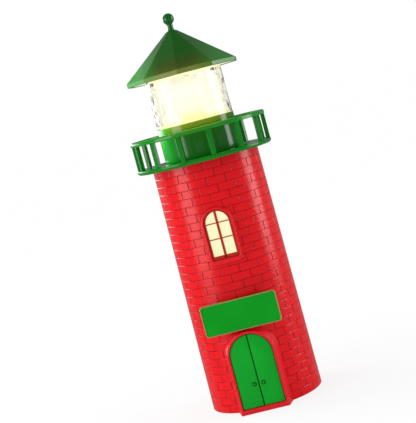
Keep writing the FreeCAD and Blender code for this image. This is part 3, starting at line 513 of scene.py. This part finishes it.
def door_portal():
    """The raised frame round the door: a rounded lip that flares back into the wall, and a sill."""
    lip = [(0.0, DOOR_BACK - 1), (0.0, PORTAL_REACH - 0.5), (0.15, PORTAL_REACH - 0.15), (0.5, PORTAL_REACH),
           (PORTAL_LIP - 1.1, PORTAL_REACH), (PORTAL_LIP - 0.45, PORTAL_REACH - 0.2),
           (PORTAL_LIP - 0.05, PORTAL_REACH - 0.75), (PORTAL_LIP + 0.2, PORTAL_REACH - 1.8)]
    depth = PORTAL_REACH - PORTAL_ROOT
    for share in (0.3, 0.6, 1.0):
        lip.append((PORTAL_LIP + PORTAL_FLARE * share, PORTAL_REACH - depth * share))
    verts = [(x, -reach, z) for offset, reach in lip for x, z in portal_outline(offset)]
    add_piece("door_portal", verts, quads(len(lip), len(portal_outline(0)), False), RED_TRIM, "red_plastic")
    sill = box_mesh(-DOOR_HALF - 0.6, DOOR_HALF + 0.6, -PORTAL_REACH + 0.02, -PORTAL_ROOT - 2, 0.0, SILL)
    soften(add_piece("door_sill", *sill, RED_TRIM, "red_plastic"), 0.5, 3)


def knob_shapes(profile, segments=28):
    """A (radius, rise) profile turned about each door knob's axis, both as one shape."""
    angles = [2 * math.pi * k / segments for k in range(segments)]
    return joined(*(([(side * KNOB_X + radius * math.cos(angle), -DOOR_REACH - rise,
                       KNOB_Z + radius * math.sin(angle)) for radius, rise in profile for angle in angles],
                     quads(len(profile), segments)) for side in (-1, 1)))


def door_leaves():
    """Two leaves with a dark sheet of painted shade behind the gaps between and round them, and a round pull on a
    rose, dark with painted shade, for each.
    """
    gap = 0.5
    half = DOOR_HALF - 0.6
    shapes = []
    for side in (-1, 1):
        points = [(gap, SILL + 0.5), (half, SILL + 0.5), (half, SPRING_Z * 0.5)]
        steps = 30
        limit = math.acos(gap / half)
        points += [(half * math.cos(limit * k / steps), SPRING_Z + half * math.sin(limit * k / steps))
                   for k in range(steps + 1)]
        if side < 0:
            points = [(-x, z) for x, z in reversed(points)]
        shapes.append(stacked([(points, DOOR_BACK + 0.3), (points, DOOR_REACH - 0.5),
                               (inset(points, 0.15), DOOR_REACH - 0.15), (inset(points, 0.5), DOOR_REACH)]))
    add_piece("door_leaves", *joined(*shapes), DOOR_GREEN, "door_green", ["door_panel"])
    # Painted shade: a dark sheet behind the leaves stands for the shade in the gaps.
    back = arch_loop(DOOR_HALF, SILL, SPRING_Z, 0.4)
    add_piece("door_backing", *stacked([(back, DOOR_BACK), (back, DOOR_BACK + 0.35)]), DOOR_SHADE, "door_green",
              ["door_panel"])
    pulls = knob_shapes([(1.2, 0.0), (1.2, 0.7), (1.1, 0.95), (0.85, 1.05), (0.4, 1.08), (0.0001, 1.08)])
    add_piece("door_pulls", *pulls, DOOR_GREEN, "door_green", ["door_knobs"])
    # Painted shade: the dark roses stand for the shade round each pull.
    roses = knob_shapes([(2.15, 0.0), (2.1, 0.12), (1.15, 0.12), (1.15, 0.0)])
    add_piece("door_roses", *roses, DOOR_SHADE, "door_green")


def name_plate():
    """The blank plate, sunk a little inside a lip painted pale tan as a highlight, on the pad that carries it."""
    outline = box_loop(SIGN_W, SIGN_H, SIGN_CORNER_R, SIGN_MID_Z)
    front, back = SIGN_REACH, SIGN_REACH - SIGN_THICK
    rings = [(inset(outline, 0.3), back), (outline, back + 0.3), (outline, front - 0.8),
             (inset(outline, 0.2), front - 0.3), (inset(outline, 0.6), front), (inset(outline, 0.8), front),
             (inset(outline, 1.0), front - 0.2), (inset(outline, 1.3), front - 0.7),
             (inset(outline, 1.8), front - 0.72)]
    add_piece("name_plate", *joined(stacked(rings[6:], False), stacked(rings[:3], True, False)), SIGN_GREEN,
              "sign_green", ["sign_plate"])
    # Painted highlight: the lip is pale tan where its edge would catch the light.
    add_piece("plate_rim", *stacked(rings[2:7], False, False), RIM_PAINTED_HIGHLIGHT, "sign_green", ["sign_plate"])
    pad = box_mesh(-PAD_HALF_W, PAD_HALF_W, -back, -PAD_ROOT, SIGN_MID_Z - PAD_HALF_H, SIGN_MID_Z + PAD_HALF_H)
    soften(add_piece("plate_pad", *pad, RED_TRIM, "red_plastic"), 0.8, 3)


def window_surround():
    """The raised moulding round the window, from the pane's rebate out to the wall."""
    def outer(offset):
        return arch_loop(SURROUND_HALF + offset, SURROUND_LOW - offset, WINDOW_SPRING_Z, 3.4 + offset)

    def opening(offset):
        return arch_loop(OPENING_HALF + offset, OPENING_LOW - offset, WINDOW_SPRING_Z, 0.8 + offset)
    rings = [(opening(0), PANE_BACK), (opening(0), WINDOW_REACH - 0.5), (opening(0.12), WINDOW_REACH - 0.12),
             (opening(0.4), WINDOW_REACH), (outer(-1.0), WINDOW_REACH - 0.05), (outer(-0.45), WINDOW_REACH - 0.3),
             (outer(-0.12), WINDOW_REACH - 0.8), (outer(0.0), WINDOW_REACH - 1.5), (outer(0.5), TOP_R - 4.5)]
    add_piece("window_surround", *stacked(rings, False, False), RED_TRIM, "red_plastic")


def window_casement():
    """The brown casement with one upright bar and two thin cross bars, all with eased edges."""
    front, back = WINDOW_REACH - 1.2, CASEMENT_BACK
    half = OPENING_HALF - 0.1
    border = [(arch_loop(half, OPENING_LOW + 0.15, WINDOW_SPRING_Z, 0.7), back),
              (arch_loop(half, OPENING_LOW + 0.15, WINDOW_SPRING_Z, 0.7), front - 0.3),
              (arch_loop(half - 0.3, OPENING_LOW + 0.45, WINDOW_SPRING_Z, 0.5), front),
              (arch_loop(LIGHT_HALF + 0.3, LIGHT_LOW - 0.3, WINDOW_SPRING_Z, 0.5), front),
              (arch_loop(LIGHT_HALF, LIGHT_LOW, WINDOW_SPRING_Z, 0.4), front - 0.4),
              (arch_loop(LIGHT_HALF, LIGHT_LOW, WINDOW_SPRING_Z, 0.4), back)]
    add_piece("casement_frame", *stacked(border, False, False), BROWN, "window_brown", ["window_casement"])
    bars = [box_mesh(-1.2, 1.2, -front, -back, OPENING_LOW + 0.4, WINDOW_SPRING_Z + LIGHT_HALF + 0.2)]
    bars += [box_mesh(-LIGHT_HALF - 0.1, LIGHT_HALF + 0.1, -front + 0.5, -back, level - 0.5, level + 0.5)
             for level in BAR_LEVELS]
    soften(add_piece("casement_bars", *joined(*bars), BROWN, "window_brown"), 0.35, 3)


# ---- gallery -----------------------------------------------------------------------------------
def gallery():
    """The floor with a rounded lower edge, its posts and the top rail."""
    profile = [(GALLERY_BORE_R, TOWER_H), (GALLERY_R - GALLERY_ROUND, TOWER_H)]
    profile += [(GALLERY_R - GALLERY_ROUND + GALLERY_ROUND * math.sin(math.radians(a)),
                 TOWER_H + GALLERY_ROUND - GALLERY_ROUND * math.cos(math.radians(a))) for a in range(10, 91, 10)]
    profile += [(GALLERY_R, FLOOR_Z - 0.5), (GALLERY_R - 0.15, FLOOR_Z - 0.15), (GALLERY_R - 0.5, FLOOR_Z),
                (GALLERY_BORE_R, FLOOR_Z)]
    add_piece("gallery_floor", *lathe(profile, 192), GREEN, "gallery_green", ["gallery"])
    post = box_mesh(GALLERY_R - 4.5, GALLERY_R - 0.5, -POST_HALF, POST_HALF, FLOOR_Z - 1.0, FLOOR_Z + POST_H + 1.0)
    posts = [turned_about_axis(post, -90 + 360.0 * (k + 0.5) / POSTS) for k in range(POSTS)]
    soften(add_piece("gallery_posts", *joined(*posts), GREEN, "gallery_green"), 0.45, 3)
    low, high = FLOOR_Z + POST_H, FLOOR_Z + POST_H + RAIL_H
    rail = [(GALLERY_R - RAIL_W, low + 0.4), (GALLERY_R - RAIL_W + 0.4, low), (GALLERY_R - 0.5, low),
            (GALLERY_R - 0.12, low + 0.12), (GALLERY_R, low + 0.5)]
    rail += [(GALLERY_R - 2.0 + 2.0 * math.cos(math.radians(a)), high - 2.0 + 2.0 * math.sin(math.radians(a)))
             for a in range(0, 91, 15)]
    rail += [(GALLERY_R - RAIL_W + 0.8, high), (GALLERY_R - RAIL_W + 0.2, high - 0.2),
             (GALLERY_R - RAIL_W, high - 0.8)]
    add_piece("gallery_top_rail", *lathe(rail, 192), RAIL_GREEN, "gallery_green", ["gallery_rail"])


# ---- lantern -----------------------------------------------------------------------------------
def lantern():
    """The drum, the seat on it glowing with painted lamp light, and the lens, whose walls are dented as cast plastic
    is.
    """
    inner = COLLAR_R - COLLAR_WALL
    drum = rounded([(DRUM_FOOT_R, FLOOR_Z), (DRUM_R, FLOOR_Z), (DRUM_R, DRUM_TOP), (inner, DRUM_TOP),
                    (inner, DRUM_TOP - 2.4), (DRUM_BORE_R, DRUM_TOP - 4.8), (DRUM_BORE_R, FLOOR_Z + 3),
                    (DRUM_FOOT_R, FLOOR_Z + 3)], 0.6, 4)
    add_piece("drum_shell", *lathe(drum, 192), DRUM_GREEN, "gallery_green", ["lamp_drum"])
    # The seat glows with painted lamp light.
    seat = rounded([(inner, DRUM_TOP - 1.0), (COLLAR_R, DRUM_TOP - 1.0), (COLLAR_R, DRUM_TOP + COLLAR_H),
                    (inner, DRUM_TOP + COLLAR_H)], 0.3, 3)
    add_piece("lens_seat", *lathe(seat, 128), PAINTED_LAMPLIGHT, "white_plastic", ["lamp_drum"])
    low, high = DRUM_TOP + 0.8, LENS_TOP
    rows, segments = 72, 260
    verts = []
    for wall in (0, 1):
        for row in range(rows + 1):
            level = low + (high - low) * (row / rows if wall == 0 else 1 - row / rows)
            for k in range(segments):
                angle = 2 * math.pi * k / segments
                edge = min(1.0, row / 3, (rows - row) / 3)
                place = Vector((math.cos(angle) * 3.6, math.sin(angle) * 3.6, level / 17.0 + 9 * wall))
                dent = noise.noise(place * 1.25) * 0.5 + noise.noise(place * 2.6 + Vector((5, 1, 2))) * 0.28
                depth = (0.55 + dent * 1.2) * edge
                radius = LENS_R - max(0.0, depth) if wall == 0 else LENS_R - LENS_WALL + 0.35 * dent * edge
                verts.append((radius * math.sin(angle), -radius * math.cos(angle), level))
    add_piece("wavy_lens", verts, quads(2 * (rows + 1), segments, True, True), CLEAR, "clear_lens", ["lens_tube"])


def soffit():
    """The plate under the roof with its collar, glowing with painted lamp light, three small tabs tinted with
    painted lamp light, and a white lamp tray that glows with painted lamp light.
    """
    inner = COLLAR_R - COLLAR_WALL
    plate = [(radius, LENS_TOP + rise)
             for radius, rise in ((0.5, 0.6), (0.5, 0.0), (54.3, 0.0), (54.3, 1.9), (0.5, 1.9))]
    collar = rounded([(inner, LENS_TOP - COLLAR_H), (COLLAR_R, LENS_TOP - COLLAR_H), (COLLAR_R, LENS_TOP + 0.1),
                      (inner, LENS_TOP + 0.1)], 0.3, 3)
    shapes = joined((turned_points(plate, ROOF_SIDES, -math.pi / 2), quads(len(plate), ROOF_SIDES)),
                    lathe(collar, 128))
    # The plate glows with painted lamp light.
    add_piece("soffit_plate", *shapes, PAINTED_LAMPLIGHT, "roof_green", ["roof_soffit"], smooth=False)
    low = LENS_TOP - COLLAR_H
    tab = box_mesh(inner - 0.3, COLLAR_R - 0.3, -3.0, 3.0, low - 3.0, low + 1.0)
    tabs = [turned_about_axis(tab, 90 + 120.0 * k) for k in range(3)]
    # The rear tab glows with painted lamp light.
    soften(add_piece("soffit_rear_tab", *tabs[0], PAINTED_LAMPLIGHT, "roof_green", ["roof_soffit"]), 0.4, 2)
    # The other two tabs are tinted olive with painted lamp light.
    soften(add_piece("soffit_tabs", *joined(*tabs[1:]), TAB_PAINTED_LAMPLIGHT, "roof_green", ["roof_soffit"]), 0.4, 2)
    # The tray glows with painted lamp light.
    tray = rounded([(TRAY_BORE_R, DRUM_TOP - 3.0), (inner - 0.3, DRUM_TOP - 3.0), (inner - 0.3, DRUM_TOP - 1.5),
                    (TRAY_BORE_R, DRUM_TOP - 1.5)], 0.3, 3)
    add_piece("lamp_tray", *lathe(tray, 96), PAINTED_LAMPLIGHT, "white_plastic")


# ---- roof --------------------------------------------------------------------------------------
def roof():
    """The ten-sided roof with a fascia, crisp hips and a thin lip along the top of the fascia."""
    rings = [(52.0, EAVE + 2.6), (54.6, EAVE + 0.8), (54.9, EAVE), (ROOF_R - 0.35, EAVE), (ROOF_R, EAVE + 0.35),
             (ROOF_R, FASCIA_TOP - 0.25), (ROOF_R - 0.35, FASCIA_TOP + 0.2), (6.4, ROOF_TOP - 1.1),
             (5.2, ROOF_TOP - 0.35), (3.9, ROOF_TOP)]
    verts = turned_points(rings, ROOF_SIDES, -math.pi / 2)
    faces = quads(len(rings), ROOF_SIDES) + [tuple(range(len(verts) - ROOF_SIDES, len(verts)))]
    soften(add_piece("faceted_roof", verts, faces, ROOF_GREEN, "roof_green", ["roof"]), 0.35, 2, 12)


def finial():
    """The neck and the ball, turned in one."""
    profile = [(0.001, 374.0), (3.9, 374.0), (3.7, 374.5), (3.1, 375.1), (3.0, 376.0), (NECK_R, 379.5)]
    start = math.degrees(math.asin(NECK_R / BALL_R))
    profile += [(BALL_R * math.sin(math.radians(a)), BALL_Z - BALL_R * math.cos(math.radians(a)))
                for a in [start + (180 - start) * k / 22 for k in range(22)]]
    profile.append((0.001, BALL_Z + BALL_R))
    add_piece("ball_finial", *lathe_open(profile, 64), FINIAL_GREEN, "roof_green", ["finial"])


# ---- carried-over nodes ------------------------------------------------------------------------
def finish_nodes():
    """The CAD nodes whose own shape is right get the material of what they are made of."""
    finishes = {
        "window_pane": PANE, "lens_gasket": CLEAR, "lamp_diffuser": FROSTED,
        "lamp_leds": FROSTED, "window_leds": FROSTED, "lamp_holder": WHITE, "switch_slider": WHITE,
        "lamp_board": BOARD, "window_board": BOARD, "control_board": BOARD, "lamp_wires": WIRE,
        "window_wires": WIRE, "base_plate": BLACK, "battery_door": BLACK, "battery_box": BLACK,
        "control_parts": BLACK, "switch_body": BLACK, "finial_nut": STEEL, "battery_cells": SLEEVE,
        "battery_contacts": STEEL, "base_screws": STEEL, "gallery_screws": STEEL, "drum_screws": STEEL,
        "holder_screws": STEEL, "roof_screws": STEEL}
    for name, material in finishes.items():
        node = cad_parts[name]
        node.data.materials.clear()
        node.data.materials.append(material)


# ---- studio ------------------------------------------------------------------------------------
def graded(nodes, links, source, from_low, from_high, to_low, to_high):
    """A value mapped smoothly from one range to another."""
    share = nodes.new("ShaderNodeMapRange")
    share.interpolation_type = "SMOOTHSTEP"
    for name, value in (("From Min", from_low), ("From Max", from_high), ("To Min", to_low), ("To Max", to_high)):
        share.inputs[name].default_value = value
    links.new(source, share.inputs["Value"])
    return share.outputs["Result"]


def combined(nodes, links, operation, first, second, clamp=False):
    """Two values put together by one step of arithmetic."""
    step = nodes.new("ShaderNodeMath")
    step.operation, step.use_clamp = operation, clamp
    links.new(first, step.inputs[0])
    links.new(second, step.inputs[1])
    return step.outputs[0]


def shader_mix(nodes, links, share, first, second):
    """The first shader where the share is 0 and the second where it is 1."""
    mix = nodes.new("ShaderNodeMixShader")
    links.new(share, mix.inputs["Fac"])
    links.new(first, mix.inputs[1])
    links.new(second, mix.inputs[2])
    return mix.outputs[0]


def white_world():
    """White to look at, an even fill for matt light, and reflections only of a backdrop, brighter to the left."""
    world = bpy.data.worlds.new("studio")
    bpy.context.scene.world = world
    world.use_nodes = True
    nodes, links = world.node_tree.nodes, world.node_tree.links
    fill = nodes["Background"]
    fill.inputs["Color"].default_value = (1, 1, 1, 1)
    fill.inputs["Strength"].default_value = FILL_LIGHT
    seen = nodes.new("ShaderNodeBackground")
    seen.inputs["Color"].default_value = (1, 1, 1, 1)
    seen.inputs["Strength"].default_value = 1.0
    mirrored = nodes.new("ShaderNodeBackground")
    mirrored.inputs["Strength"].default_value = 1.0
    place = nodes.new("ShaderNodeTexCoord")
    split = nodes.new("ShaderNodeSeparateXYZ")
    links.new(place.outputs["Generated"], split.inputs[0])
    across, along, rise = split.outputs["X"], split.outputs["Y"], split.outputs["Z"]
    behind = graded(nodes, links, along, 0.2, 0.7, 0.0, 1.0)
    sideways = graded(nodes, links, across, -0.8, 0.4, 0.55, 0.22)
    low = combined(nodes, links, "MULTIPLY", graded(nodes, links, rise, -0.005, 0.02, 0.0, 1.0),
                   graded(nodes, links, rise, 0.08, 0.25, 1.0, 0.0))
    low_left = combined(nodes, links, "MULTIPLY", low, graded(nodes, links, across, -0.35, -0.2, 6.0, 0.0))
    backdrop = combined(nodes, links, "ADD", sideways, low_left)
    links.new(combined(nodes, links, "MULTIPLY", behind, backdrop), mirrored.inputs["Strength"])
    path = nodes.new("ShaderNodeLightPath")
    looked_at = combined(nodes, links, "MAXIMUM", path.outputs["Is Camera Ray"], path.outputs["Is Transmission Ray"])
    unseen = shader_mix(nodes, links, path.outputs["Is Glossy Ray"], fill.outputs[0], mirrored.outputs[0])
    links.new(shader_mix(nodes, links, looked_at, unseen, seen.outputs[0]), nodes["World Output"].inputs["Surface"])


def floor():
    """A pale floor that looks white but for the object's shadow, and is dim in reflections."""
    material, shader, links = new_material("pale_floor")
    nodes = material.node_tree.nodes
    shader.inputs["Base Color"].default_value = (0.86, 0.86, 0.86, 1)
    shader.inputs["Roughness"].default_value = 0.9
    shader.inputs["Specular IOR Level"].default_value = 0.1
    glow = node_of(material, "ShaderNodeEmission", Color=(1, 1, 1, 1), Strength=1.0)
    dim = node_of(material, "ShaderNodeEmission", Strength=0.26)
    place = nodes.new("ShaderNodeTexCoord")
    far = nodes.new("ShaderNodeVectorMath")
    far.operation = "LENGTH"
    links.new(place.outputs["Object"], far.inputs[0])
    clear = node_of(material, "ShaderNodeMapRange", From_Min=0.05, From_Max=0.35, To_Min=0.80, To_Max=0.99)
    links.new(far.outputs["Value"], clear.inputs["Value"])
    path = nodes.new("ShaderNodeLightPath")
    camera_ray, glossy_ray, through_ray = (path.outputs["Is " + kind + " Ray"]
                                           for kind in ("Camera", "Glossy", "Transmission"))
    looked_at = combined(nodes, links, "MAXIMUM", camera_ray, through_ray)
    share = combined(nodes, links, "MULTIPLY", looked_at, clear.outputs["Result"])
    direct = shader_mix(nodes, links, share, shader.outputs[0], glow.outputs[0])
    mirrored = combined(nodes, links, "SUBTRACT", glossy_ray, through_ray, True)
    links.new(shader_mix(nodes, links, mirrored, direct, dim.outputs[0]), nodes["Material Output"].inputs["Surface"])
    mesh = bpy.data.meshes.new("floor")
    size = 40.0
    mesh.from_pydata([(-size, -size, 0), (size, -size, 0), (size, size, 0), (-size, size, 0)], [], [(0, 1, 2, 3)])
    plane = bpy.data.objects.new("floor", mesh)
    bpy.context.scene.collection.objects.link(plane)
    mesh.materials.append(material)


def softbox(name, azimuth, elevation, distance, width, height, power, target=(0, 0, 0.2), reflected=True):
    """An area lamp aimed at the tower; azimuth is measured from the front, to the viewer's right."""
    lamp = bpy.data.lights.new(name, "AREA")
    lamp.shape = "RECTANGLE"
    lamp.size, lamp.size_y = width, height
    lamp.energy = power   # watts
    holder = bpy.data.objects.new(name, lamp)
    bpy.context.scene.collection.objects.link(holder)
    turn, lift = math.radians(azimuth), math.radians(elevation)
    place = Vector(target) + distance * Vector((math.sin(turn) * math.cos(lift), -math.cos(turn) * math.cos(lift),
                                                math.sin(lift)))
    holder.location = place
    holder.rotation_euler = (Vector(target) - place).to_track_quat("-Z", "Y").to_euler()
    holder.visible_glossy = reflected


def studio():
    """The background, the floor and three softboxes; the rear one lights but isn't reflected."""
    white_world()
    floor()
    softbox("left_softbox", -56, 4, 1.3, 0.7, 1.5, 10.2)
    softbox("right_softbox", 96, 4, 1.3, 0.5, 1.5, 9.5)
    softbox("rear_softbox", -118, 36, 1.5, 0.8, 0.8, 11.0, (0, 0, 0.3), False)


def camera():
    """The photograph's camera: level to the right, then pitched down and rolled so that the tower leans left."""
    data = bpy.data.cameras.new("camera")
    holder = bpy.data.objects.new("camera", data)
    bpy.context.scene.collection.objects.link(holder)
    bpy.context.scene.camera = holder
    data.sensor_width = 36.0
    data.lens = FOCAL_PIXELS * data.sensor_width / max(PHOTO_WIDTH, PHOTO_HEIGHT)
    data.clip_end = 100.0
    azimuth, pitch, roll = (math.radians(v) for v in (CAMERA_AZIMUTH, CAMERA_PITCH, CAMERA_ROLL))
    forward = Vector((-math.sin(azimuth), math.cos(azimuth), 0))
    right = Vector((math.cos(azimuth), math.sin(azimuth), 0))
    place = -forward * CAMERA_DISTANCE + Vector((0, 0, CAMERA_HEIGHT))
    yaw = math.atan(AXIS_PIXELS_RIGHT / FOCAL_PIXELS)
    ahead = forward * math.cos(yaw) - right * math.sin(yaw)
    side = right * math.cos(yaw) + forward * math.sin(yaw)
    up = Vector((0, 0, 1))
    look = ahead * math.cos(pitch) - up * math.sin(pitch)
    head = up * math.cos(pitch) + ahead * math.sin(pitch)
    side_rolled = side * math.cos(roll) - head * math.sin(roll)
    head_rolled = head * math.cos(roll) + side * math.sin(roll)
    turn = Matrix((side_rolled, head_rolled, -look)).transposed()
    holder.matrix_world = Matrix.Translation(place) @ turn.to_4x4()


def main():
    brick_tower()
    door_portal()
    door_leaves()
    name_plate()
    window_surround()
    window_casement()
    gallery()
    lantern()
    soffit()
    roof()
    finial()
    finish_nodes()
    studio()
    camera()
    bpy.context.scene.view_settings.view_transform = "Standard"


main()
